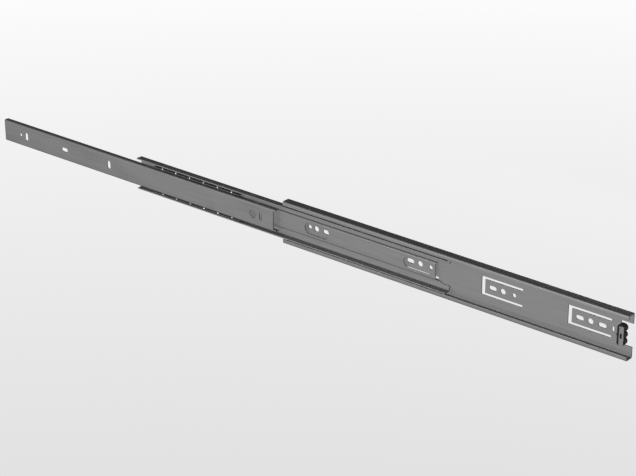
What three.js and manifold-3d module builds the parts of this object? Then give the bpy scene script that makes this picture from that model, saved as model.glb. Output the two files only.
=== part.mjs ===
// Full-extension drawer slide with three steel members that telescope on two ball races.
// Shown pulled right out. Millimetres, +Z up.
// X runs along the slide towards the back of the cabinet, which is also the closing direction.
// Y points into the cabinet wall, so a depth measured off the wall is a negative Y.
// The origin is on the cabinet member's mounting face, at the middle of its length and height.

import * as THREE from 'three';
import { mergeVertices } from 'three/addons/utils/BufferGeometryUtils.js';
import Module from 'manifold-3d';

const wasm = await Module();
wasm.setup();

// ---- driving sizes ----------------------------------------------------------------------
const CABINET_LENGTH = 401;
const INTERMEDIATE_LENGTH = CABINET_LENGTH; // the two are cut alike
const DRAWER_SHORTER = 8.5; // drawer member, than the cabinet member
const CABINET_HEIGHT = 45.7;
const SLIDE_DEPTH = 12.7; // wall to the drawer side, the space a drawer leaves at each side
const SHEET = 1.2; // rolled steel of all three members
const OUTER_OVERLAP = 201; // cabinet and intermediate members still overlap by this, pulled out
const INNER_OVERLAP = 193; // intermediate and drawer members

// Balls and the races rolled into the flanges
const BALL_DIAMETER = 4.3;
const BALL_PLAY = 0.125; // between a ball and each race
const BALL_PITCH = 19.2;
const WAVE = 0.3; // how far a rolled race dips into a flange
const OUTER_WAVE_HALF = 1.6; // half the width of the intermediate member's outer race
const INNER_WAVE_HALF = 1.0; // and of each inner race
const OUTER_BALLS = 5; // in each row
const INNER_BALLS = 6;

// Inside bend radii
const CABINET_BEND = 0.2;
const INTERMEDIATE_BEND = 0.15;
const DRAWER_BEND = 0.3;
const HOOK_BEND = 0.3;
const OUTER_RETAINER_BEND = 0.35;
const INNER_RETAINER_BEND = 0.25;

// Clearances and steps from one piece to the next
const WEB_GAP = 0.35; // each side of the wall-side retainer's web
const RACE_GAP = 0.05; // between the intermediate member's bend and its first race
const FLANGE_PAST_RACE = 1.7; // its flange, past the middle of its second race
const LIP_GAP = 0.4; // the cabinet member's lip, over the retainer's edge
const LIP_SIDE = 1.0; // and above the intermediate member
const RETAINER_GAP = 0.3; // inner retainer off the intermediate member
const RETAINER_SHY = 1.3; // its edges, short of the drawer member's face
const DRAWER_PAST_RACE = 0.2; // drawer member's flanges, past their race
const PANEL_SIDE = 2.05; // raised middle of the intermediate web, inside those flanges
const PANEL_RISE = 1.4; // how far that middle stands off, over the screw heads
const RETAINER_STEP = 0.5; // inner retainer's own step, outside the panel's

// Retainers
const RETAINER_SHEET = 0.5;
const RETAINER_END = 11.5; // from the last ball's centre to the end of a retainer
const POCKET_PLAY = 0.2;
const POCKET_RIM = 0.45; // strip left between a pocket and the flange's edge
const WINDOW_END = 6; // from a retainer's end to the long window in its web
const OUTER_WINDOW_HALF = 9.0;
const INNER_WINDOW_HALF = 6.5;
const OUTER_FIRST_BALL = 21.5; // behind the cabinet member's front end
const INNER_FIRST_BALL = 36.5; // behind the intermediate member's front end

// Screw holes
const SCREW_ROUND = 5.8;
const SCREW_SLOT_WIDTH = 4.4;
const CABINET_SLOT_LENGTH = 8.4;
const DRAWER_SLOT_LENGTH = 9.0;
const SMALL_ROUND = 4.2;
// Groups in the cabinet member, by their round hole, on a 32 mm grid
const GROUP_PITCH = 96;
const LAST_GROUP = 44.4; // ahead of the back end
const FRONT_GROUP = 36.6; // behind the front end
const GROUP_STEP = 11.5; // from a group's round hole to the hole in front of it
const GROUP_STEP_BACK = 12.6; // and to the hole behind it
const FRONT_STEP = 8.5; // the same ahead of the front group's
// Drawer member, behind its front end
const PILOT_ROUND = 3.6;
const PILOT = 25;
const DRAWER_SLOT_1 = 34;
const DRAWER_SLOT_2 = 93.5;
const DRAWER_SLOT_3 = 160;
// and ahead of its back end
const LOCATING_ROUND = 9.0;
const LOCATING = 30;
const DRAWER_SLOT_4 = 19.5;
const DRAWER_WEB_SHORT = 3.4; // the web stops this far short of the flanges at the back
const DRAWER_WEB_EDGE = 1.0; // and this far off them

// Bayonet tongues round the cabinet member's screw groups
const TONGUE_FRONT = 24.1; // the cut's front edge, ahead of the round hole
const TONGUE_BACK = 22.0; // where its legs end, behind the round hole
const TONGUE_HALF = 9.6;
const TONGUE_BAR = 4.0;
const TONGUE_LEG = 2.5;
const SLIT_STEP = 23.9; // upright slit behind the last group's round hole
const SLIT_LENGTH = 5.2;
const SLIT_WIDTH = 2.2;

// Openings in the intermediate web that the screws are driven through
const ACCESS_HALF = 6.0;
const ACCESS_FRONT = [12.1, 18.9]; // ahead of and behind the front group's round hole
const ACCESS_REAR = [17.0, 17.9]; // the same for the group under its back end
const WEB_SLANT = 8.5; // length of the slanted corners at the back of its web
const SLANT_START = 0.6; // where they start, inside the raised middle's edge

// Back bumper, and the steel hook bent up out of the cabinet member's web to hold it
const HOOK_STEM = 10.0; // middle of the stem, ahead of the back end
const HOOK_ROOT = 5.0; // length of the hook's foot, ahead of its stem
const HOOK_REACH = 5.0; // ahead of the back end, where the hook's tip stops
const HOOK_UNDER = 2.5; // hook's outer face, under the closed drawer member's web
const HOOK_EYE_LENGTH = 5.2;
const HOOK_EYE_WIDTH = 2.2;
const HOOK_EYE_STEP = 2.4; // behind the stem
const BUMPER_SIDE = 0.65; // bumper, inside the closed drawer member's flanges
const BUMPER_CHEEK = 1.1; // rubber left beside the hook
const BUMPER_CLEAR = 0.3;
const BUMPER_NECK = 2.3; // bumper's front, ahead of the stem's middle
const BUMPER_BACK = 4.5; // ahead of the back end
const BUMPER_UNDER = 0.8; // bumper's outer face, under the hook's
const BUMPER_ROUND = 2.5;
const NOTCH_SIDE = 1.3; // notch in the cabinet web, past the bumper at each side
const NOTCH_END = 0.2; // and ahead of it
const STRIP_SIDE = 1.2; // intermediate web strips, past the bumper at each side
const NOSE_GAP = 2.9; // closed intermediate web, ahead of the bumper's nose
const REAR_SETBACK = 0.5; // closed intermediate member, short of the cabinet member's back end
const LOBE_RADIUS = 3.7;
const LOBES = 3;
const NOSE_RADIUS = 1.6;
const NOSE_PROUD = 0.8;

// ---- sizes that follow from them --------------------------------------------------------
const HALF_SHEET = SHEET / 2;
const DRAWER_LENGTH = CABINET_LENGTH - DRAWER_SHORTER;
const RACE = BALL_DIAMETER + 2 * BALL_PLAY;
const POCKET_RADIUS = BALL_DIAMETER / 2 + POCKET_PLAY;

// Half heights, from the outside in
const CABINET_HALF = CABINET_HEIGHT / 2;
const INTERMEDIATE_HALF = CABINET_HALF - SHEET - RACE + WAVE;
const DRAWER_HALF = INTERMEDIATE_HALF - SHEET + WAVE - RACE + WAVE;
const OUTER_ROW_Z = CABINET_HALF - SHEET - RACE / 2;
const INNER_ROW_Z = INTERMEDIATE_HALF - SHEET + WAVE - RACE / 2;
const LIP_EDGE = INTERMEDIATE_HALF + LIP_SIDE;
const PANEL_HALF = DRAWER_HALF - SHEET - PANEL_SIDE; // at mid step
const BUMPER_HALF = DRAWER_HALF - SHEET - BUMPER_SIDE;
const HOOK_HALF = BUMPER_HALF - BUMPER_CHEEK;

// Depths off the wall
const OUTER_RETAINER_DEPTH = SHEET + WEB_GAP + RETAINER_SHEET / 2;
const STRIP_DEPTH = OUTER_RETAINER_DEPTH + RETAINER_SHEET / 2 + WEB_GAP + HALF_SHEET;
const PANEL_DEPTH = STRIP_DEPTH + PANEL_RISE;
const OUTER_ROW_DEPTH = STRIP_DEPTH + HALF_SHEET + INTERMEDIATE_BEND + RACE_GAP + OUTER_WAVE_HALF;
const INNER_RETAINER_TIP = SLIDE_DEPTH - RETAINER_SHY;
const INNER_ROW_DEPTH = INNER_RETAINER_TIP - POCKET_RIM - POCKET_RADIUS;
const INTERMEDIATE_TIP = INNER_ROW_DEPTH + FLANGE_PAST_RACE;
const OUTER_RETAINER_TIP = OUTER_ROW_DEPTH + POCKET_RADIUS + POCKET_RIM;
const CABINET_DEPTH = OUTER_RETAINER_TIP + LIP_GAP + SHEET;
const INNER_RETAINER_DEPTH = STRIP_DEPTH + HALF_SHEET + RETAINER_GAP + RETAINER_SHEET / 2;
const DRAWER_TIP = INNER_ROW_DEPTH - INNER_WAVE_HALF - DRAWER_PAST_RACE;
const HOOK_TOP = SLIDE_DEPTH - SHEET - HOOK_UNDER;
const BUMPER_TOP = HOOK_TOP - BUMPER_UNDER;

// Places along X
const CABINET_FRONT = -CABINET_LENGTH / 2;
const CABINET_REAR = CABINET_LENGTH / 2;
const INTERMEDIATE_FRONT = CABINET_FRONT + OUTER_OVERLAP - INTERMEDIATE_LENGTH;
const DRAWER_FRONT = INTERMEDIATE_FRONT + INNER_OVERLAP - DRAWER_LENGTH;
const HOOK_X = CABINET_REAR - HOOK_STEM;
const BUMPER_FRONT_X = HOOK_X - BUMPER_NECK;
const BUMPER_BACK_X = CABINET_REAR - BUMPER_BACK;
// The intermediate web's end, ahead of its flanges' end
const WEB_SETBACK = CABINET_REAR - REAR_SETBACK - (BUMPER_FRONT_X - NOSE_PROUD - NOSE_GAP);
const INTERMEDIATE_WEB_END = CABINET_FRONT + OUTER_OVERLAP - WEB_SETBACK;
// The screw groups' round holes, from the back one forwards, and the front one
const FRONT_GROUP_X = CABINET_FRONT + FRONT_GROUP;
const LAST_GROUP_X = CABINET_REAR - LAST_GROUP;
const GROUPS = Math.floor((LAST_GROUP_X - FRONT_GROUP_X) / GROUP_PITCH);
const GROUP_X = Array.from({ length: GROUPS }, (_, i) => LAST_GROUP_X - i * GROUP_PITCH);
const COVERED_GROUP_X = GROUP_X.find((x) => x + ACCESS_REAR[1] < INTERMEDIATE_WEB_END);

// ---- finishes ---------------------------------------------------------------------------
const finish = (color, roughness, metalness) =>
  new THREE.MeshStandardMaterial({ color, roughness, metalness });
const zincSteel = finish(0x8a8b8c, 0.42, 0.85);
const retainerSteel = finish(0xa3a5a7, 0.38, 0.85);
const ballSteel = finish(0xd2d4d6, 0.12, 1.0);
const blackRubber = finish(0x1b1b1c, 0.75, 0.0);

// ---- solids -----------------------------------------------------------------------------
const WELD = 1e-4; // corners closer than this are one corner
const PAST = 1; // how far a cutter runs past what it cuts
const ROLL_STEPS = 4; // points on each side of a rolled race's middle
const HOLE_STEPS = 8;
const POCKET_SIDES = 16;
const BALL_DETAIL = 1;

// A closed three.js geometry as a solid that can be joined and cut
function solid(geometry) {
  const bare = geometry.clone();
  bare.deleteAttribute('normal');
  bare.deleteAttribute('uv');
  const merged = mergeVertices(bare, WELD);
  return new wasm.Manifold(new wasm.Mesh({
    numProp: 3,
    vertProperties: new Float32Array(merged.attributes.position.array),
    triVerts: new Uint32Array(merged.index.array),
  }));
}

// The same solid as a named mesh
function mesh(name, body, material) {
  const data = body.getMesh();
  const geometry = new THREE.BufferGeometry();
  geometry.setAttribute('position', new THREE.BufferAttribute(data.vertProperties, 3));
  geometry.setIndex(new THREE.BufferAttribute(data.triVerts, 1));
  geometry.computeVertexNormals();
  const made = new THREE.Mesh(geometry, material);
  made.name = name;
  return made;
}

// A sheet's centreline through the given corners, each rounded to an inside bend radius.
// Returns points with the direction of travel at each.
function centreline(corners, inside, thickness, steps = 4) {
  const bend = inside + thickness / 2;
  const path = [];
  const push = (point, along) => path.push({ point, along: along.clone() });
  corners.forEach((corner, i) => {
    const here = new THREE.Vector2(corner[0], corner[1]);
    const before = corners[i - 1] && new THREE.Vector2(corners[i - 1][0], corners[i - 1][1]);
    const after = corners[i + 1] && new THREE.Vector2(corners[i + 1][0], corners[i + 1][1]);
    const into = before && here.clone().sub(before).normalize();
    const out = after && after.clone().sub(here).normalize();
    if (!before || !after) {
      push(here, into ?? out);
      return;
    }
    const turn = Math.atan2(into.cross(out), into.dot(out));
    const side = Math.sign(turn);
    const setback = bend * Math.tan(Math.abs(turn) / 2);
    const start = here.clone().addScaledVector(into, -setback);
    const centre = start.clone().add(new THREE.Vector2(-into.y, into.x).multiplyScalar(side * bend));
    for (let k = 0; k <= steps; k++) {
      const angle = turn * k / steps;
      const spoke = start.clone().sub(centre).rotateAround(new THREE.Vector2(), angle);
      push(centre.clone().add(spoke), into.clone().rotateAround(new THREE.Vector2(), angle));
    }
  });
  return path;
}

// The outline of a sheet of some thickness that follows a centreline
function sheetOutline(path, thickness) {
  const side = (sign) => path.map(({ point, along }) =>
    new THREE.Vector2(-along.y, along.x).multiplyScalar(sign * thickness / 2).add(point));
  return new THREE.Shape([...side(1), ...side(-1).reverse()]);
}

// A rolled race: the flange's centreline dips over twice the given half of its depth
function rolled(depth, z, dip, half, from) {
  const points = [];
  const direction = Math.sign(depth - from);
  for (let k = -ROLL_STEPS; k <= ROLL_STEPS; k++) {
    const u = k / ROLL_STEPS;
    const at = depth + direction * u * half;
    const slope = dip * Math.PI / (2 * half) * Math.sin(Math.PI * u) * -1;
    points.push({
      point: new THREE.Vector2(at, z + dip * (1 + Math.cos(Math.PI * u)) / 2),
      along: new THREE.Vector2(direction, slope).normalize(),
    });
  }
  return points;
}

// Mirror the upper half of a section, drawn from the flange's tip to the middle, to get it all
function bothHalves(upper) {
  const lower = upper.map(({ point, along }) => ({
    point: new THREE.Vector2(point.x, -point.y),
    along: new THREE.Vector2(-along.x, along.y),
  }));
  return [...upper, ...lower.reverse()];
}

// Turn a mirrored geometry's faces out again
function turnRound(geometry) {
  const order = geometry.index.array;
  for (let i = 0; i < order.length; i += 3) {
    [order[i], order[i + 1]] = [order[i + 1], order[i]];
  }
}

// A section drawn as (depth off the wall, height), run along X
function run(shape, start, length) {
  const geometry = new THREE.ExtrudeGeometry(shape, { depth: length, bevelEnabled: false });
  const toSlide = new THREE.Matrix4().set(
    0, 0, 1, start,
    -1, 0, 0, 0,
    0, 1, 0, 0,
    0, 0, 0, 1,
  );
  geometry.applyMatrix4(toSlide);
  // The section is drawn mirrored in depth, so its faces are turned round again
  const merged = mergeVertices(geometry, WELD);
  turnRound(merged);
  return solid(merged);
}

// An outline drawn as (X, Z), cut through from one depth off the wall to another
function through(shape, near, far) {
  const settings = { depth: far - near, bevelEnabled: false, curveSegments: HOLE_STEPS };
  const geometry = new THREE.ExtrudeGeometry(shape, settings);
  geometry.rotateX(Math.PI / 2);
  geometry.translate(0, -near, 0);
  return solid(geometry);
}

function rectangle(x0, x1, z0, z1) {
  const corners = [[x0, z0], [x1, z0], [x1, z1], [x0, z1]];
  return new THREE.Shape(corners.map(([x, z]) => new THREE.Vector2(x, z)));
}

function circle(x, z, diameter) {
  const shape = new THREE.Shape();
  shape.absarc(x, z, diameter / 2, 0, 2 * Math.PI);
  return shape;
}

// A round-ended slot; upright ones are taller than they are wide
function slot(x, z, length, width, upright = false) {
  const r = width / 2;
  const half = length / 2 - r;
  const turn = upright ? Math.PI / 2 : 0;
  const dx = half * Math.cos(turn);
  const dz = half * Math.sin(turn);
  const shape = new THREE.Shape();
  shape.absarc(x + dx, z + dz, r, turn - Math.PI / 2, turn + Math.PI / 2);
  shape.absarc(x - dx, z - dz, r, turn + Math.PI / 2, turn + 1.5 * Math.PI);
  shape.closePath();
  return shape;
}

const cutAll = (body, cutters) => cutters.reduce((left, cutter) => left.subtract(cutter), body);

// ---- cabinet member ---------------------------------------------------------------------
// The U-shaped cut that frees a springy tongue round a group of screw holes
function tongueCut(x) {
  const front = x - TONGUE_FRONT;
  const back = x + TONGUE_BACK;
  const points = [
    [front, -TONGUE_HALF], [back, -TONGUE_HALF], [back, -TONGUE_HALF + TONGUE_LEG],
    [front + TONGUE_BAR, -TONGUE_HALF + TONGUE_LEG], [front + TONGUE_BAR, TONGUE_HALF - TONGUE_LEG],
    [back, TONGUE_HALF - TONGUE_LEG], [back, TONGUE_HALF], [front, TONGUE_HALF],
  ];
  return new THREE.Shape(points.map(([px, pz]) => new THREE.Vector2(px, pz)));
}

function cabinetMember() {
  const tip = [CABINET_DEPTH - HALF_SHEET, LIP_EDGE];
  const lipBend = [CABINET_DEPTH - HALF_SHEET, CABINET_HALF - HALF_SHEET];
  const webBend = [HALF_SHEET, CABINET_HALF - HALF_SHEET];
  const corners = [tip, lipBend, webBend, [HALF_SHEET, 0]];
  const upper = centreline(corners, CABINET_BEND, SHEET).slice(0, -1);
  const section = sheetOutline(bothHalves(upper), SHEET);
  let body = run(section, CABINET_FRONT, CABINET_LENGTH);

  const cuts = [];
  for (const x of GROUP_X) {
    cuts.push(tongueCut(x));
    cuts.push(circle(x, 0, SCREW_ROUND));
    cuts.push(slot(x - GROUP_STEP, 0, CABINET_SLOT_LENGTH, SCREW_SLOT_WIDTH));
    if (x === LAST_GROUP_X) {
      cuts.push(slot(x + GROUP_STEP_BACK, 0, CABINET_SLOT_LENGTH, SCREW_SLOT_WIDTH));
    } else {
      cuts.push(circle(x + GROUP_STEP_BACK, 0, SMALL_ROUND));
    }
  }
  const notchFront = BUMPER_FRONT_X - NOTCH_END;
  const notchHalf = BUMPER_HALF + NOTCH_SIDE;
  cuts.push(circle(FRONT_GROUP_X, 0, SCREW_ROUND));
  cuts.push(circle(FRONT_GROUP_X - FRONT_STEP, 0, SMALL_ROUND));
  cuts.push(slot(FRONT_GROUP_X + GROUP_STEP_BACK, 0, CABINET_SLOT_LENGTH, SCREW_SLOT_WIDTH));
  cuts.push(slot(LAST_GROUP_X + SLIT_STEP, 0, SLIT_LENGTH, SLIT_WIDTH, true));
  cuts.push(rectangle(notchFront, CABINET_REAR + PAST, -notchHalf, notchHalf));
  body = cutAll(body, cuts.map((shape) => through(shape, -PAST, SHEET + PAST)));
  return body.add(bumperHook());
}

// The hook's side view is a sheet in X and depth, as wide as the hook in Z
function bumperHook() {
  const path = centreline([
    [HOOK_X - HOOK_ROOT, HALF_SHEET],
    [HOOK_X, HALF_SHEET],
    [HOOK_X, HOOK_TOP - HALF_SHEET],
    [CABINET_REAR - HOOK_REACH, HOOK_TOP - HALF_SHEET],
  ], HOOK_BEND, SHEET);
  const settings = { depth: 2 * HOOK_HALF, bevelEnabled: false };
  const geometry = new THREE.ExtrudeGeometry(sheetOutline(path, SHEET), settings);
  geometry.translate(0, 0, -HOOK_HALF);
  const merged = mergeVertices(geometry, WELD);
  merged.scale(1, -1, 1);
  turnRound(merged);
  const eye = slot(HOOK_X + HOOK_EYE_STEP, 0, HOOK_EYE_LENGTH, HOOK_EYE_WIDTH, true);
  return solid(merged).subtract(through(eye, HOOK_TOP - SHEET - PAST, HOOK_TOP + PAST));
}

// ---- intermediate member ----------------------------------------------------------------
function intermediateMember() {
  const z = INTERMEDIATE_HALF - HALF_SHEET;
  const half = PANEL_RISE / 2;
  const tip = { point: new THREE.Vector2(INTERMEDIATE_TIP, z), along: new THREE.Vector2(-1, 0) };
  const web = centreline([
    [OUTER_ROW_DEPTH - OUTER_WAVE_HALF, z],
    [STRIP_DEPTH, z],
    [STRIP_DEPTH, PANEL_HALF + half],
    [PANEL_DEPTH, PANEL_HALF - half],
    [PANEL_DEPTH, 0],
  ], INTERMEDIATE_BEND, SHEET).slice(1, -1);
  const upper = [
    tip,
    ...rolled(INNER_ROW_DEPTH, z, WAVE, INNER_WAVE_HALF, INTERMEDIATE_TIP),
    ...rolled(OUTER_ROW_DEPTH, z, -WAVE, OUTER_WAVE_HALF, INTERMEDIATE_TIP),
    ...web,
  ];
  const body = run(sheetOutline(bothHalves(upper), SHEET), 0, INTERMEDIATE_LENGTH);

  const end = INTERMEDIATE_LENGTH + PAST;
  const webEnd = INTERMEDIATE_WEB_END - INTERMEDIATE_FRONT;
  const corner = PANEL_HALF - SLANT_START;
  const strip = BUMPER_HALF + STRIP_SIDE;
  const gap = new THREE.Shape([
    [webEnd, -corner], [webEnd + WEB_SLANT, -strip], [end, -strip],
    [end, strip], [webEnd + WEB_SLANT, strip], [webEnd, corner],
  ].map(([px, pz]) => new THREE.Vector2(px, pz)));
  const access = (groupX, [ahead, behind]) => slot(
    groupX - INTERMEDIATE_FRONT + (behind - ahead) / 2, 0, ahead + behind, 2 * ACCESS_HALF);
  const cuts = [gap, access(FRONT_GROUP_X, ACCESS_FRONT), access(COVERED_GROUP_X, ACCESS_REAR)];
  return cutAll(body, cuts.map((shape) => through(shape, 0, PANEL_DEPTH + SHEET)));
}

// ---- drawer member ----------------------------------------------------------------------
function drawerMember() {
  const z = DRAWER_HALF - HALF_SHEET;
  const web = SLIDE_DEPTH - HALF_SHEET;
  const tip = { point: new THREE.Vector2(DRAWER_TIP, z), along: new THREE.Vector2(1, 0) };
  const corners = [[INNER_ROW_DEPTH + INNER_WAVE_HALF, z], [web, z], [web, 0]];
  const bend = centreline(corners, DRAWER_BEND, SHEET).slice(1, -1);
  const race = rolled(INNER_ROW_DEPTH, z, -WAVE, INNER_WAVE_HALF, DRAWER_TIP);
  const upper = [tip, ...race, ...bend];
  const body = run(sheetOutline(bothHalves(upper), SHEET), 0, DRAWER_LENGTH);

  const end = DRAWER_LENGTH;
  const inner = DRAWER_HALF - SHEET - DRAWER_WEB_EDGE;
  const cuts = [
    circle(PILOT, 0, PILOT_ROUND),
    slot(DRAWER_SLOT_1, 0, DRAWER_SLOT_LENGTH, SCREW_SLOT_WIDTH, true),
    slot(DRAWER_SLOT_2, 0, DRAWER_SLOT_LENGTH, SCREW_SLOT_WIDTH),
    slot(DRAWER_SLOT_3, 0, DRAWER_SLOT_LENGTH, SCREW_SLOT_WIDTH, true),
    circle(end - LOCATING, 0, LOCATING_ROUND),
    slot(end - DRAWER_SLOT_4, 0, DRAWER_SLOT_LENGTH, SCREW_SLOT_WIDTH, true),
    rectangle(end - DRAWER_WEB_SHORT, end + PAST, -inner, inner),
  ];
  return cutAll(body, cuts.map((shape) => through(shape, web - SHEET, web + SHEET)));
}

// ---- ball retainers ---------------------------------------------------------------------
// A strip with a flange along each edge, a pocket through the flange for each ball, and a
// long window through its web
function pocketed(upper, rowDepth, rowZ, count, windowHalf) {
  const length = (count - 1) * BALL_PITCH + 2 * RETAINER_END;
  const section = sheetOutline(bothHalves(upper), RETAINER_SHEET);
  const body = run(section, 0, length);
  const reach = 2 * BALL_DIAMETER;
  const drill = new THREE.CylinderGeometry(POCKET_RADIUS, POCKET_RADIUS, reach, POCKET_SIDES);
  drill.rotateX(Math.PI / 2);
  const window = slot(length / 2, 0, length - 2 * WINDOW_END, 2 * windowHalf);
  const cutters = [through(window, 0, rowDepth)];
  for (let i = 0; i < count; i++) {
    for (const side of [1, -1]) {
      const at = drill.clone().translate(RETAINER_END + i * BALL_PITCH, -rowDepth, side * rowZ);
      cutters.push(solid(at));
    }
  }
  return cutAll(body, cutters);
}

function outerRetainer() {
  const upper = centreline([
    [OUTER_RETAINER_TIP, OUTER_ROW_Z],
    [OUTER_RETAINER_DEPTH, OUTER_ROW_Z],
    [OUTER_RETAINER_DEPTH, 0],
  ], OUTER_RETAINER_BEND, RETAINER_SHEET).slice(0, -1);
  return pocketed(upper, OUTER_ROW_DEPTH, OUTER_ROW_Z, OUTER_BALLS, OUTER_WINDOW_HALF);
}

// This retainer's web steps over the intermediate member's raised middle
function innerRetainer() {
  const step = PANEL_HALF + RETAINER_STEP;
  const half = PANEL_RISE / 2;
  const upper = centreline([
    [INNER_RETAINER_TIP, INNER_ROW_Z],
    [INNER_RETAINER_DEPTH, INNER_ROW_Z],
    [INNER_RETAINER_DEPTH, step + half],
    [INNER_RETAINER_DEPTH + PANEL_RISE, step - half],
    [INNER_RETAINER_DEPTH + PANEL_RISE, 0],
  ], INNER_RETAINER_BEND, RETAINER_SHEET).slice(0, -1);
  return pocketed(upper, INNER_ROW_DEPTH, INNER_ROW_Z, INNER_BALLS, INNER_WINDOW_HALF);
}

// Loose balls, one mesh each, in an upper and a lower row
function addBalls(group, prefix, rowDepth, rowZ, count) {
  const ball = new THREE.IcosahedronGeometry(BALL_DIAMETER / 2, BALL_DETAIL);
  for (const [row, side] of [['upper', 1], ['lower', -1]]) {
    for (let i = 0; i < count; i++) {
      const made = new THREE.Mesh(ball, ballSteel);
      made.name = `${prefix}_ball_${row}_${i + 1}`;
      made.position.set(RETAINER_END + i * BALL_PITCH, -rowDepth, side * rowZ);
      group.add(made);
    }
  }
}

// ---- back bumper ------------------------------------------------------------------------
function rearBumper() {
  const x0 = BUMPER_FRONT_X;
  const lobeX = BUMPER_BACK_X - LOBE_RADIUS;
  const r = BUMPER_ROUND;
  const half = BUMPER_HALF;
  const near = SHEET + BUMPER_CLEAR;
  const block = new THREE.Shape();
  block.moveTo(x0, -half + r);
  block.absarc(x0 + r, -half + r, r, Math.PI, 1.5 * Math.PI);
  block.lineTo(lobeX, -half);
  block.lineTo(lobeX, half);
  block.absarc(x0 + r, half - r, r, Math.PI / 2, Math.PI);
  block.closePath();
  let body = through(block, near, BUMPER_TOP);
  const pitch = 2 * (half - LOBE_RADIUS) / (LOBES - 1);
  for (let i = 0; i < LOBES; i++) {
    const lobe = circle(lobeX, -half + LOBE_RADIUS + i * pitch, 2 * LOBE_RADIUS);
    body = body.add(through(lobe, near, BUMPER_TOP));
  }
  const nose = circle(x0 + NOSE_RADIUS - NOSE_PROUD, 0, 2 * NOSE_RADIUS);
  body = body.add(through(nose, near, BUMPER_TOP));

  // Room for the hook's stem and, over it, for the rest of the hook
  const wide = HALF_SHEET + BUMPER_CLEAR;
  const side = HOOK_HALF + BUMPER_CLEAR;
  const stemGap = rectangle(HOOK_X - wide, HOOK_X + wide, -side, side);
  const hookGap = rectangle(HOOK_X - wide, BUMPER_BACK_X + PAST, -half - PAST, half + PAST);
  return cutAll(body, [
    through(stemGap, near - PAST, BUMPER_TOP + PAST),
    through(hookGap, HOOK_TOP - SHEET - BUMPER_CLEAR, BUMPER_TOP + PAST),
  ]);
}

// ---- the slide, pulled out --------------------------------------------------------------
const slide = new THREE.Group();
slide.add(mesh('cabinet_member', cabinetMember(), zincSteel));
slide.add(mesh('rear_bumper', rearBumper(), blackRubber));

const outerRace = new THREE.Group();
outerRace.position.x = CABINET_FRONT + OUTER_FIRST_BALL - RETAINER_END;
outerRace.add(mesh('outer_ball_retainer', outerRetainer(), retainerSteel));
addBalls(outerRace, 'outer', OUTER_ROW_DEPTH, OUTER_ROW_Z, OUTER_BALLS);
slide.add(outerRace);

const intermediate = new THREE.Group();
intermediate.position.x = INTERMEDIATE_FRONT;
intermediate.add(mesh('intermediate_member', intermediateMember(), zincSteel));

const innerRace = new THREE.Group();
innerRace.position.x = INNER_FIRST_BALL - RETAINER_END;
innerRace.add(mesh('inner_ball_retainer', innerRetainer(), retainerSteel));
addBalls(innerRace, 'inner', INNER_ROW_DEPTH, INNER_ROW_Z, INNER_BALLS);
intermediate.add(innerRace);

const drawer = new THREE.Group();
drawer.position.x = DRAWER_FRONT - INTERMEDIATE_FRONT;
drawer.add(mesh('drawer_member', drawerMember(), zincSteel));
intermediate.add(drawer);
slide.add(intermediate);

export default slide;
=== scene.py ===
"""Looks of a full-extension drawer slide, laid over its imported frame.

The steel members, the ball retainers and the bumper keep the frame's shapes, with their edges
rounded as rolled, cut and moulded edges are. The balls are made new and smooth. Sizes are in
metres, in the frame's own axes: +X along the slide towards the cabinet's back, +Y into the
cabinet wall, +Z up.
"""

import math

import bmesh
import bpy
from bpy.props import FloatProperty, FloatVectorProperty, IntProperty, PointerProperty
from mathutils import Matrix, Vector


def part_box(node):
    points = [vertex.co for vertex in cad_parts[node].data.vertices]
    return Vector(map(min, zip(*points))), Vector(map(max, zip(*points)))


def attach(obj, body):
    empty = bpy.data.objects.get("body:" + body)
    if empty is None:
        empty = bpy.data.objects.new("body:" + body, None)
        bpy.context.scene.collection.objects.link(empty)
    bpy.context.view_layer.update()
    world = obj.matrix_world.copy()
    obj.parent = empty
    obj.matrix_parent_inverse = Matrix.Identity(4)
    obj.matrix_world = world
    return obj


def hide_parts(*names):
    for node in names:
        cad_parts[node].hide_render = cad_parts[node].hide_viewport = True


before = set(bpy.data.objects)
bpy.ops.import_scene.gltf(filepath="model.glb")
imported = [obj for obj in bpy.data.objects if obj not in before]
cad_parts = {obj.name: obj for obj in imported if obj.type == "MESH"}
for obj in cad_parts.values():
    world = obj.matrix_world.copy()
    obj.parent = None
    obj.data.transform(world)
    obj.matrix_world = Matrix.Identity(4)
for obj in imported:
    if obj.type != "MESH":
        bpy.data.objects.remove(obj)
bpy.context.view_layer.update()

bl_info = {
    "name": "Drawer Slide Looks",
    "version": (1, 0, 0),
    "blender": (4, 5, 0),
    "location": "3D View > Sidebar > Drawer Slide",
    "description": "Finishes a telescopic drawer slide: zinc-plated steel, polished balls, rubber",
    "category": "Object",
}

BAND = "edge_band"  # colour attribute, 1 on the narrow faces that round an edge
BALL_ROWS = (("outer", "outer_race", 5), ("inner", "inner_race", 6))
MEMBERS = (
    ("cabinet_member", "cabinet"),
    ("intermediate_member", "intermediate"),
    ("drawer_member", "drawer"),
)
RETAINERS = (("outer_ball_retainer", "outer_race"), ("inner_ball_retainer", "inner_race"))

# Shaping
MERGE_DISTANCE = 2e-6
FLAT_ANGLE = math.radians(0.3)  # faces that turn less than this become one
SHARP_ANGLE = math.radians(35.0)  # edges that turn more than this are rounded
NORMAL_WEIGHT = 80  # how far large faces pull the shading at their edges
RETAINER_EDGE_SHARE = 0.5  # of the members' edge radius, as the strip is thinner
RUBBER_EDGE_SEGMENTS = 3

# Finishes
ZINC_STREAK_WIDTH = 0.0011
RETAINER_STREAK_WIDTH = 0.0006
RETAINER_SMOOTHER = 0.06  # how much less rough the retainers are than the members
SPECK_SCALE = 1900.0  # specks to a metre
DUST_SCALE = 140.0  # dust patches to a metre
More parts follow.
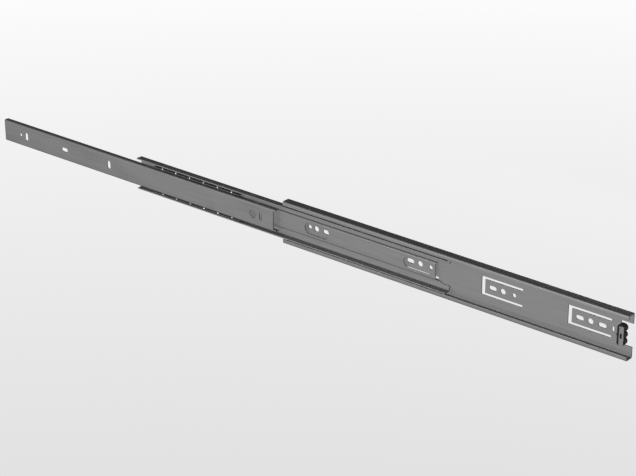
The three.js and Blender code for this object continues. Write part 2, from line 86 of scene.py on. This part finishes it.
# Brightness of each mark, against the finish's own colour, and how strongly it is mixed in
STREAK_DARK, STREAK_LIGHT = 0.93, 1.06
CLOUD_BRIGHTNESS, CLOUD_SHARE = 0.93, 0.5
SPECK_BRIGHTNESS, SPECK_SHARE = 1.25, 0.12
WORN_BRIGHTNESS = 1.55
BALL_CLOUDS = (0.9, 1.05)
RUBBER_CLOUDS = (0.8, 1.3)
RUBBED_BRIGHTNESS, RUBBED_SHARE = 3.0, 0.5
# Roughness that each mark adds or takes away; the balls' and the rubber's are the whole of it
STREAK_ROUGHNESS = (-0.04, 0.05)
CLOUD_ROUGHNESS = (-0.03, 0.04)
WORN_SMOOTHER = 0.1
STEEL_DUST_ROUGHER, RUBBER_DUST_ROUGHER = 0.35, 0.2
BALL_ROUGHNESS, BALL_SCUFF_ROUGHER = (0.2, 0.3), 0.05
RUBBER_ROUGHNESS = (0.52, 0.66)
SPECK_HEIGHT = 0.35  # of a streak's height
BALL_METALLIC = 0.75
STEEL_DUST, STEEL_DUST_COLOR = 0.22, (0.19, 0.185, 0.175)
RUBBER_DUST, RUBBER_DUST_COLOR = 0.3, (0.1, 0.097, 0.09)
BALL_SCUFF_DEPTH = 0.000004
RUBBER_GRAIN_DEPTH = 0.00004

# Stage: places in metres, powers in the stage settings
FLOOR_RADIUS = 30.0
FLOOR_SIDES = 96
FLOOR_BLACK = (0.02, 0.02, 0.02)  # under the floor's own glow
FLOOR_GLOW_FADE = (3.3, 6.6)  # distances from under the camera between which the floor's glow brightens: painted shade, darker near the camera
SLIDE_MIDDLE = (-0.2, 0.0, 0.0)
KEY_DIRECTION = (0.35, 0.93, 0.10)
KEY_SPREAD = math.radians(8.0)
SHADOW_SPREAD = math.radians(14.0)
RIM_PLACE, RIM_SIZE = (-1.9, -1.4, 1.9), (2.0, 0.4)
BACK_PLACE, BACK_SIZE = (-0.2, 2.8, -0.3), (3.0, 1.6)
CAMERA_PLACE = Vector((1.04386, -1.47033, 0.86246))
CAMERA_AZIMUTH = math.radians(39.381)
CAMERA_ELEVATION = math.radians(24.635)
CAMERA_ROLL = math.radians(-0.105)
CAMERA_LENS = 119.315  # millimetres
SENSOR_WIDTH = 36.0  # millimetres


# ---- settings ---------------------------------------------------------------------------
class SlideSteelSettings(bpy.types.PropertyGroup):
    zinc_color: FloatVectorProperty(
        name="Zinc Colour", description="Base colour of the plated members",
        subtype="COLOR", size=3, min=0.0, max=1.0, default=(0.40, 0.402, 0.405))
    zinc_metallic: FloatProperty(
        name="Zinc Metallic", description="How metallic the plating looks",
        min=0.0, max=1.0, default=0.35, subtype="FACTOR")
    zinc_roughness: FloatProperty(
        name="Zinc Roughness", description="Mean roughness of the plating",
        min=0.0, max=1.0, default=0.42, subtype="FACTOR")
    retainer_color: FloatVectorProperty(
        name="Retainer Colour", description="Base colour of the ball retainers",
        subtype="COLOR", size=3, min=0.0, max=1.0, default=(0.34, 0.342, 0.345))
    grain_depth: FloatProperty(
        name="Grain Depth", description="Height of the rolling grain",
        min=0.0, max=0.0005, default=0.00002, unit="LENGTH", precision=6)
    edge_radius: FloatProperty(
        name="Edge Radius", description="Rounding of the cut sheet edges",
        min=0.00002, max=0.0004, default=0.00014, unit="LENGTH", precision=6)
    edge_segments: IntProperty(
        name="Edge Segments", description="Steps round a sheet edge", min=1, max=6, default=2)


class SlideBallSettings(bpy.types.PropertyGroup):
    ball_color: FloatVectorProperty(
        name="Ball Colour", description="Base colour of the polished balls",
        subtype="COLOR", size=3, min=0.0, max=1.0, default=(0.74, 0.74, 0.75))
    ball_detail: IntProperty(
        name="Ball Detail", description="Subdivisions of each ball", min=2, max=5, default=4)


class SlideBumperSettings(bpy.types.PropertyGroup):
    rubber_color: FloatVectorProperty(
        name="Rubber Colour", description="Base colour of the bumper",
        subtype="COLOR", size=3, min=0.0, max=1.0, default=(0.022, 0.022, 0.023))
    rubber_radius: FloatProperty(
        name="Rubber Edge Radius", description="Rounding of the moulded edges",
        min=0.0001, max=0.0008, default=0.0003, unit="LENGTH", precision=5)


class SlideStageSettings(bpy.types.PropertyGroup):
    floor_drop: FloatProperty(
        name="Floor Drop", description="Floor below the slide's middle",
        min=0.1, max=3.0, default=1.2, unit="LENGTH")
    # The floor's glow colours: painted shade makes it darker near the camera than far away
    floor_near_glow: FloatVectorProperty(
        name="Near Floor", description="Floor colour near the camera",
        subtype="COLOR", size=3, min=0.0, max=1.0, default=(0.74, 0.74, 0.74))
    floor_far_glow: FloatVectorProperty(
        name="Far Floor", description="Floor colour away from the camera",
        subtype="COLOR", size=3, min=0.0, max=1.0, default=(0.99, 0.99, 0.99))
    key_strength: FloatProperty(
        name="Key Strength", description="Broad even light from the front left",
        min=0.0, max=20.0, default=1.2)
    shadow_share: FloatProperty(
        name="Shadow Share", description="Share of the key light that casts shadows",
        min=0.0, max=1.0, default=0.16, subtype="FACTOR")
    rim_power: FloatProperty(
        name="Rim Power", description="Strip softbox over the front, in watts",
        min=0.0, max=500.0, default=4.0)
    back_power: FloatProperty(
        name="Back Power", description="Softbox behind, in watts",
        min=0.0, max=1000.0, default=60.0)
    ambient: FloatProperty(
        name="Ambient", description="Level of the even light all round",
        min=0.0, max=2.0, default=0.06)


# ---- mesh helpers -----------------------------------------------------------------------
def settings():
    return bpy.context.scene.drawer_slide


def merged_copy(node):
    """A frame node's shape with its doubles merged and its flat faces joined."""
    bm = bmesh.new()
    bm.from_mesh(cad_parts[node].data)
    bmesh.ops.remove_doubles(bm, verts=bm.verts, dist=MERGE_DISTANCE)
    bmesh.ops.dissolve_limit(
        bm, angle_limit=FLAT_ANGLE, use_dissolve_boundaries=False,
        verts=bm.verts, edges=bm.edges, delimit={"NORMAL"})
    return bm


def round_edges(bm, radius, segments):
    """Rounds the sharp edges and marks the new narrow faces in the edge band attribute."""
    sharp = [e for e in bm.edges if e.is_manifold and e.calc_face_angle() > SHARP_ANGLE]
    made = bmesh.ops.bevel(
        bm, geom=sharp, offset=radius, offset_type="OFFSET", segments=segments, profile=0.5,
        affect="EDGES", clamp_overlap=False, loop_slide=True, material=-1)
    band = bm.loops.layers.float_color.new(BAND)
    narrow = set(made["faces"])
    for face in bm.faces:
        level = 1.0 if face in narrow else 0.0
        for loop in face.loops:
            loop[band] = (level, level, level, 1.0)
        face.smooth = True


def piece(name, bm, body, material, nodes):
    """Turns a bmesh into a finished piece that rides on a body and stands for frame nodes."""
    mesh = bpy.data.meshes.new(name)
    bm.to_mesh(mesh)
    bm.free()
    made = bpy.data.objects.new(name, mesh)
    bpy.context.scene.collection.objects.link(made)
    mesh.materials.append(material)
    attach(made, body)
    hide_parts(*nodes)
    return made


def weight_normals(made):
    """Flat faces keep their own normal, and the rounded edges blend between them."""
    smooth = made.modifiers.new("Weighted Normals", "WEIGHTED_NORMAL")
    smooth.mode = "FACE_AREA"
    smooth.weight = NORMAL_WEIGHT
    smooth.keep_sharp = True


# ---- shader groups ----------------------------------------------------------------------
class Nodes:
    """Short calls to place and link the nodes of one tree."""

    def __init__(self, tree):
        self.tree = tree

    def add(self, kind, inputs=None, **values):
        node = self.tree.nodes.new(kind)
        for key, value in values.items():
            setattr(node, key, value)
        for key, value in (inputs or {}).items():
            if isinstance(value, bpy.types.NodeSocket):
                self.tree.links.new(value, node.inputs[key])
            else:
                node.inputs[key].default_value = value
        return node

    def math(self, operation, a, b, clamp=False):
        node = self.add("ShaderNodeMath", {0: a, 1: b}, operation=operation, use_clamp=clamp)
        return node.outputs[0]

    def spread(self, value, low, high, out_low=0.0, out_high=1.0):
        """The value remapped from one range to another, held at the ends."""
        node = self.add("ShaderNodeMapRange", {
            "Value": value, "From Min": low, "From Max": high,
            "To Min": out_low, "To Max": out_high}, clamp=True)
        return node.outputs["Result"]

    def noise(self, vector, scale, detail, roughness=0.5):
        node = self.add("ShaderNodeTexNoise", {
            "Vector": vector, "Scale": scale, "Detail": detail, "Roughness": roughness})
        return node.outputs["Fac"]


def group(name, inputs, outputs):
    """A new shader group with float sockets: its tree, its nodes, its input and its output."""
    tree = bpy.data.node_groups.new(name, "ShaderNodeTree")
    for label, default in inputs:
        socket = tree.interface.new_socket(label, in_out="INPUT", socket_type="NodeSocketFloat")
        socket.default_value = default
    for label in outputs:
        tree.interface.new_socket(label, in_out="OUTPUT", socket_type="NodeSocketFloat")
    nodes = Nodes(tree)
    return tree, nodes, nodes.add("NodeGroupInput"), nodes.add("NodeGroupOutput")


def rolled_grain():
    """Fine streaks along the strip and a faint cloudiness, as cold-rolled sheet has."""
    sizes = [("Streak Length", 0.05), ("Streak Width", ZINC_STREAK_WIDTH), ("Cloud", 0.03)]
    tree, n, given, out = group("Rolled Grain", sizes, ["Streak", "Cloud", "Speck"])
    place = n.add("ShaderNodeTexCoord").outputs["Object"]
    along = n.math("DIVIDE", 1.0, given.outputs["Streak Length"])
    across = n.math("DIVIDE", 1.0, given.outputs["Streak Width"])
    stretch = n.add("ShaderNodeCombineXYZ", {"X": along, "Y": across, "Z": across})
    streaked = n.add(
        "ShaderNodeVectorMath", {0: place, 1: stretch.outputs[0]}, operation="MULTIPLY")
    streak = n.noise(streaked.outputs[0], 1.0, 3.0, 0.6)
    cloud = n.noise(place, n.math("DIVIDE", 1.0, given.outputs["Cloud"]), 3.0, 0.55)
    speck = n.noise(place, SPECK_SCALE, 2.0, 0.6)
    tree.links.new(n.spread(streak, 0.3, 0.7), out.inputs["Streak"])
    tree.links.new(n.spread(cloud, 0.35, 0.65), out.inputs["Cloud"])
    tree.links.new(n.spread(speck, 0.3, 0.7), out.inputs["Speck"])
    return tree


def edge_wear():
    """How burnished each rounded edge is, broken up along its length."""
    tree, n, given, out = group("Edge Wear", [("Patch Size", 0.006), ("Strength", 1.0)], ["Mask"])
    band = n.add("ShaderNodeAttribute", attribute_name=BAND).outputs["Fac"]
    place = n.add("ShaderNodeTexCoord").outputs["Object"]
    patch = n.noise(place, n.math("DIVIDE", 1.0, given.outputs["Patch Size"]), 2.0)
    broken = n.spread(patch, 0.32, 0.55, 0.45, 1.0)
    worn = n.math("MULTIPLY", n.math("MULTIPLY", band, broken), given.outputs["Strength"])
    tree.links.new(worn, out.inputs["Mask"])
    return tree


def settled_dust():
    """A thin film of dust on what faces up, and in patches."""
    tree, n, given, out = group("Settled Dust", [("Amount", 0.2)], ["Mask"])
    normal = n.add("ShaderNodeNewGeometry").outputs["Normal"]
    up = n.add("ShaderNodeSeparateXYZ", {0: normal}).outputs["Z"]
    place = n.add("ShaderNodeTexCoord").outputs["Object"]
    patch = n.spread(n.noise(place, DUST_SCALE, 4.0, 0.6), 0.35, 0.7)
    lying = n.math("MULTIPLY", n.spread(up, 0.2, 1.0), patch)
    tree.links.new(n.math("MULTIPLY", lying, given.outputs["Amount"]), out.inputs["Mask"])
    return tree


def shared_group(name, build):
    return bpy.data.node_groups.get(name) or build()


class Finish:
    """A new material with the shared groups close at hand."""

    def __init__(self, name):
        self.material = bpy.data.materials.new(name)
        self.material.use_nodes = True
        tree = self.material.node_tree
        tree.nodes.clear()
        self.n = Nodes(tree)
        self.shader = self.n.add("ShaderNodeBsdfPrincipled")
        end = self.n.add("ShaderNodeOutputMaterial")
        tree.links.new(self.shader.outputs[0], end.inputs["Surface"])

    def use(self, name, build, **values):
        node = self.n.add("ShaderNodeGroup", node_tree=shared_group(name, build))
        for key, value in values.items():
            node.inputs[key.replace("_", " ").title()].default_value = value
        return node.outputs

    def mix(self, factor, a, b):
        """A colour mixed from two, each a socket or three numbers."""
        node = self.n.add("ShaderNodeMix", data_type="RGBA")
        for socket, value in ((node.inputs[0], factor), (node.inputs[6], a), (node.inputs[7], b)):
            if isinstance(value, bpy.types.NodeSocket):
                self.n.tree.links.new(value, socket)
            elif isinstance(value, (int, float)):
                socket.default_value = value
            else:
                socket.default_value = (*value, 1.0)
        return node.outputs[2]

    def feed(self, **sockets):
        names = {"color": "Base Color", "roughness": "Roughness", "normal": "Normal"}
        for key, socket in sockets.items():
            self.n.tree.links.new(socket, self.shader.inputs[names[key]])

    def bump(self, height, distance, strength):
        node = self.n.add("ShaderNodeBump", {
            "Height": height, "Distance": distance, "Strength": strength})
        return node.outputs[0]


def shade(color, factor):
    """The colour made darker or lighter, up to white."""
    return tuple(min(1.0, c * factor) for c in color)


def plated_steel(name, color, metallic, roughness, grain_depth, streak_width):
    """Zinc-plated rolled steel: streaks, cloudiness, specks, bright edges and a little dust."""
    f = Finish(name)
    n = f.n
    grain = f.use("Rolled Grain", rolled_grain, streak_width=streak_width)
    worn = f.use("Edge Wear", edge_wear)["Mask"]
    dust = f.use("Settled Dust", settled_dust, amount=STEEL_DUST)["Mask"]
    base = f.mix(grain["Streak"], shade(color, STREAK_DARK), shade(color, STREAK_LIGHT))
    cloudy = n.math("MULTIPLY", grain["Cloud"], CLOUD_SHARE)
    base = f.mix(cloudy, base, shade(color, CLOUD_BRIGHTNESS))
    specked = n.math("MULTIPLY", grain["Speck"], SPECK_SHARE)
    base = f.mix(specked, base, shade(color, SPECK_BRIGHTNESS))
    base = f.mix(worn, base, shade(color, WORN_BRIGHTNESS))
    base = f.mix(dust, base, STEEL_DUST_COLOR)
    f.shader.inputs["Metallic"].default_value = metallic
    rough = n.math("ADD", n.spread(grain["Streak"], 0.0, 1.0, *STREAK_ROUGHNESS), roughness)
    rough = n.math("ADD", rough, n.spread(grain["Cloud"], 0.0, 1.0, *CLOUD_ROUGHNESS))
    rough = n.math("SUBTRACT", rough, n.math("MULTIPLY", worn, WORN_SMOOTHER))
    rough = n.math("ADD", rough, n.math("MULTIPLY", dust, STEEL_DUST_ROUGHER), clamp=True)
    height = n.math("ADD", grain["Streak"], n.math("MULTIPLY", grain["Speck"], SPECK_HEIGHT))
    f.feed(color=base, roughness=rough, normal=f.bump(height, grain_depth, 0.5))
    return f.material


def polished_balls(color):
    """Hardened chrome steel with hairline scuffs and a thin smear of grease."""
    f = Finish("Polished Ball Steel")
    n = f.n
    grain = f.use(
        "Rolled Grain", rolled_grain, streak_length=0.0012, streak_width=0.00012, cloud=0.002)
    base = f.mix(grain["Cloud"], *(shade(color, level) for level in BALL_CLOUDS))
    f.shader.inputs["Metallic"].default_value = BALL_METALLIC
    rough = n.math("ADD", n.spread(grain["Cloud"], 0.0, 1.0, *BALL_ROUGHNESS),
                   n.math("MULTIPLY", grain["Streak"], BALL_SCUFF_ROUGHER))
    f.feed(color=base, roughness=rough, normal=f.bump(grain["Streak"], BALL_SCUFF_DEPTH, 0.4))
    return f.material


def moulded_rubber(color):
    """Black rubber with a fine moulded texture, rubbed grey at the edges."""
    f = Finish("Moulded Rubber")
    n = f.n
    grain = f.use(
        "Rolled Grain", rolled_grain, streak_length=0.0005, streak_width=0.0005, cloud=0.004)
    worn = f.use("Edge Wear", edge_wear, patch_size=0.003)["Mask"]
    dust = f.use("Settled Dust", settled_dust, amount=RUBBER_DUST)["Mask"]
    base = f.mix(grain["Cloud"], *(shade(color, level) for level in RUBBER_CLOUDS))
    rubbed = n.math("MULTIPLY", worn, RUBBED_SHARE)
    base = f.mix(rubbed, base, shade(color, RUBBED_BRIGHTNESS))
    base = f.mix(dust, base, RUBBER_DUST_COLOR)
    rough = n.math("ADD", n.spread(grain["Cloud"], 0.0, 1.0, *RUBBER_ROUGHNESS),
                   n.math("MULTIPLY", dust, RUBBER_DUST_ROUGHER), clamp=True)
    height = n.math("ADD", grain["Streak"], grain["Speck"])
    f.feed(color=base, roughness=rough, normal=f.bump(height, RUBBER_GRAIN_DEPTH, 0.5))
    return f.material


# ---- operators --------------------------------------------------------------------------
class SLIDE_OT_steel_members(bpy.types.Operator):
    """Make the three zinc-plated steel members"""

    bl_idname = "slide.steel_members"
    bl_label = "Steel Members"

    def execute(self, context):
        steel = settings().steel
        zinc = plated_steel("Zinc Plated Steel", steel.zinc_color, steel.zinc_metallic,
                            steel.zinc_roughness, steel.grain_depth, ZINC_STREAK_WIDTH)
        for node, body in MEMBERS:
            bm = merged_copy(node)
            round_edges(bm, steel.edge_radius, steel.edge_segments)
            weight_normals(piece(f"{node}_steel", bm, body, zinc, [node]))
        return {"FINISHED"}


class SLIDE_OT_ball_retainers(bpy.types.Operator):
    """Make the two pocketed strips that keep the balls apart"""

    bl_idname = "slide.ball_retainers"
    bl_label = "Ball Retainers"

    def execute(self, context):
        steel = settings().steel
        bright = plated_steel("Retainer Steel", steel.retainer_color, steel.zinc_metallic,
                              steel.zinc_roughness - RETAINER_SMOOTHER,
                              steel.grain_depth, RETAINER_STREAK_WIDTH)
        for node, body in RETAINERS:
            bm = merged_copy(node)
            round_edges(bm, RETAINER_EDGE_SHARE * steel.edge_radius, steel.edge_segments)
            weight_normals(piece(f"{node}_strip", bm, body, bright, [node]))
        return {"FINISHED"}


class SLIDE_OT_balls(bpy.types.Operator):
    """Make the polished bearing balls, one for each of the frame's"""

    bl_idname = "slide.balls"
    bl_label = "Bearing Balls"

    def execute(self, context):
        balls = settings().balls
        polished = polished_balls(balls.ball_color)
        for row, body, count in BALL_ROWS:
            for side in ("upper", "lower"):
                for i in range(count):
                    node = f"{row}_ball_{side}_{i + 1}"
                    low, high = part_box(node)
                    radius = (high.z - low.z) / 2
                    bm = bmesh.new()
                    bmesh.ops.create_icosphere(
                        bm, subdivisions=balls.ball_detail, radius=radius,
                        matrix=Matrix.Translation((low + high) / 2))
                    for face in bm.faces:
                        face.smooth = True
                    piece(f"{node}_polished", bm, body, polished, [node])
        return {"FINISHED"}


class SLIDE_OT_bumper(bpy.types.Operator):
    """Make the moulded rubber bumper held by the hook at the back"""

    bl_idname = "slide.bumper"
    bl_label = "Rear Bumper"

    def execute(self, context):
        rubber = settings().bumper
        bm = merged_copy("rear_bumper")
        round_edges(bm, rubber.rubber_radius, RUBBER_EDGE_SEGMENTS)
        made = piece("rear_bumper_rubber", bm, "cabinet",
                     moulded_rubber(rubber.rubber_color), ["rear_bumper"])
        weight_normals(made)
        return {"FINISHED"}


def aim(target, position, direction):
    """Puts a light or a camera at a position, looking along a direction, with +Z up."""
    turn = direction.to_track_quat("-Z", "Y").to_matrix().to_4x4()
    target.matrix_world = Matrix.Translation(position) @ turn


def softbox(name, position, size, power):
    """A lit rectangle that faces the middle of the open slide."""
    light = bpy.data.lights.new(name, "AREA")
    light.shape, light.energy = "RECTANGLE", power
    light.size, light.size_y = size
    made = bpy.data.objects.new(name, light)
    bpy.context.scene.collection.objects.link(made)
    aim(made, Vector(position), Vector(SLIDE_MIDDLE) - Vector(position))


def even_light(name, spread, strength, shadow):
    """Light along the key's direction, as even as from a very large and distant softbox."""
    light = bpy.data.lights.new(name, "SUN")
    light.energy, light.angle, light.use_shadow = strength, spread, shadow
    made = bpy.data.objects.new(name, light)
    bpy.context.scene.collection.objects.link(made)
    aim(made, Vector((0.0, 0.0, 0.0)), Vector(KEY_DIRECTION))


def glowing_floor_finish(near, far, foot):
    """Pale matt floor that glows on its own rather than being lit, with painted shade: its glow is
    dimmer near a point on it and brightens away from it.
    """
    f = Finish("Pale Glowing Floor")
    n = f.n
    place = n.add("ShaderNodeTexCoord").outputs["Object"]
    away = n.add("ShaderNodeVectorMath", {0: place, 1: foot}, operation="DISTANCE")
    distance = n.spread(away.outputs["Value"], *FLOOR_GLOW_FADE)
    color = f.mix(distance, near, far)
    # The floor glows instead of being lit, and its glow fades towards the camera as painted shade
    n.tree.links.new(color, f.shader.inputs["Emission Color"])
    f.shader.inputs["Emission Strength"].default_value = 1.0
    f.shader.inputs["Base Color"].default_value = (*FLOOR_BLACK, 1.0)
    f.shader.inputs["Roughness"].default_value = 1.0
    f.shader.inputs["Specular IOR Level"].default_value = 0.0
    return f.material


class SLIDE_OT_stage(bpy.types.Operator):
    """Make the pale floor, the soft lights and the camera"""

    bl_idname = "slide.stage"
    bl_label = "Stage"

    def execute(self, context):
        stage = settings().stage
        scene = context.scene
        scene.view_settings.view_transform = "Standard"

        bm = bmesh.new()
        bmesh.ops.create_circle(
            bm, cap_ends=True, segments=FLOOR_SIDES, radius=FLOOR_RADIUS,
            matrix=Matrix.Translation((0.0, 0.0, -stage.floor_drop)))
        mesh = bpy.data.meshes.new("floor")
        bm.to_mesh(mesh)
        bm.free()
        floor = bpy.data.objects.new("floor", mesh)
        scene.collection.objects.link(floor)
        foot = (CAMERA_PLACE.x, CAMERA_PLACE.y, -stage.floor_drop)
        mesh.materials.append(glowing_floor_finish(stage.floor_near_glow, stage.floor_far_glow, foot))
        # The floor gives the object no light of its own and takes none of its light away
        floor.visible_diffuse = floor.visible_glossy = floor.visible_shadow = False

        world = bpy.data.worlds.new("Studio")
        world.use_nodes = True
        world.node_tree.nodes.clear()
        n = Nodes(world.node_tree)
        seen = n.add("ShaderNodeBackground", {"Color": (*stage.floor_far_glow, 1.0), "Strength": 1.0})
        light = n.add("ShaderNodeBackground", {
            "Color": (1.0, 1.0, 1.0, 1.0), "Strength": stage.ambient})
        rays = n.add("ShaderNodeLightPath").outputs["Is Camera Ray"]
        both = n.add("ShaderNodeMixShader", {
            0: rays, 1: light.outputs[0], 2: seen.outputs[0]}).outputs[0]
        end = n.add("ShaderNodeOutputWorld")
        n.tree.links.new(both, end.inputs["Surface"])
        scene.world = world

        share = stage.shadow_share
        even_light("key_light", KEY_SPREAD, stage.key_strength * (1 - share), False)
        even_light("shadow_light", SHADOW_SPREAD, stage.key_strength * share, True)
        softbox("rim_softbox", RIM_PLACE, RIM_SIZE, stage.rim_power)
        softbox("back_softbox", BACK_PLACE, BACK_SIZE, stage.back_power)

        data = bpy.data.cameras.new("camera")
        data.sensor_width, data.lens = SENSOR_WIDTH, CAMERA_LENS
        camera = bpy.data.objects.new("camera", data)
        scene.collection.objects.link(camera)
        a, e = CAMERA_AZIMUTH, CAMERA_ELEVATION
        forward = Vector((-math.sin(a) * math.cos(e), math.cos(a) * math.cos(e), -math.sin(e)))
        aim(camera, CAMERA_PLACE, forward)
        camera.matrix_world = camera.matrix_world @ Matrix.Rotation(CAMERA_ROLL, 4, "Z")
        scene.camera = camera
        return {"FINISHED"}


class DrawerSlideSettings(bpy.types.PropertyGroup):
    steel: PointerProperty(type=SlideSteelSettings, name="Steel")
    balls: PointerProperty(type=SlideBallSettings, name="Balls")
    bumper: PointerProperty(type=SlideBumperSettings, name="Bumper")
    stage: PointerProperty(type=SlideStageSettings, name="Stage")


class SLIDE_PT_looks(bpy.types.Panel):
    """Lists the makers of the slide's pieces and their settings"""

    bl_label = "Drawer Slide"
    bl_idname = "SLIDE_PT_looks"
    bl_space_type = "VIEW_3D"
    bl_region_type = "UI"
    bl_category = "Drawer Slide"

    def draw(self, context):
        for part in ("steel", "balls", "bumper", "stage"):
            box = self.layout.box()
            box.label(text=part.title())
            values = getattr(settings(), part)
            for key in values.__annotations__:
                box.prop(values, key)
        for maker in MAKERS:
            self.layout.operator(maker.bl_idname)


MAKERS = (
    SLIDE_OT_steel_members,
    SLIDE_OT_ball_retainers,
    SLIDE_OT_balls,
    SLIDE_OT_bumper,
    SLIDE_OT_stage,
)
CLASSES = (
    SlideSteelSettings,
    SlideBallSettings,
    SlideBumperSettings,
    SlideStageSettings,
    DrawerSlideSettings,
    *MAKERS,
    SLIDE_PT_looks,
)


def register():
    for cls in CLASSES:
        bpy.utils.register_class(cls)
    bpy.types.Scene.drawer_slide = PointerProperty(type=DrawerSlideSettings)


def unregister():
    del bpy.types.Scene.drawer_slide
    for cls in reversed(CLASSES):
        bpy.utils.unregister_class(cls)


def main():
    register()
    bpy.ops.slide.steel_members()
    bpy.ops.slide.ball_retainers()
    bpy.ops.slide.balls()
    bpy.ops.slide.bumper()
    bpy.ops.slide.stage()


if __name__ == "__main__":
    main()
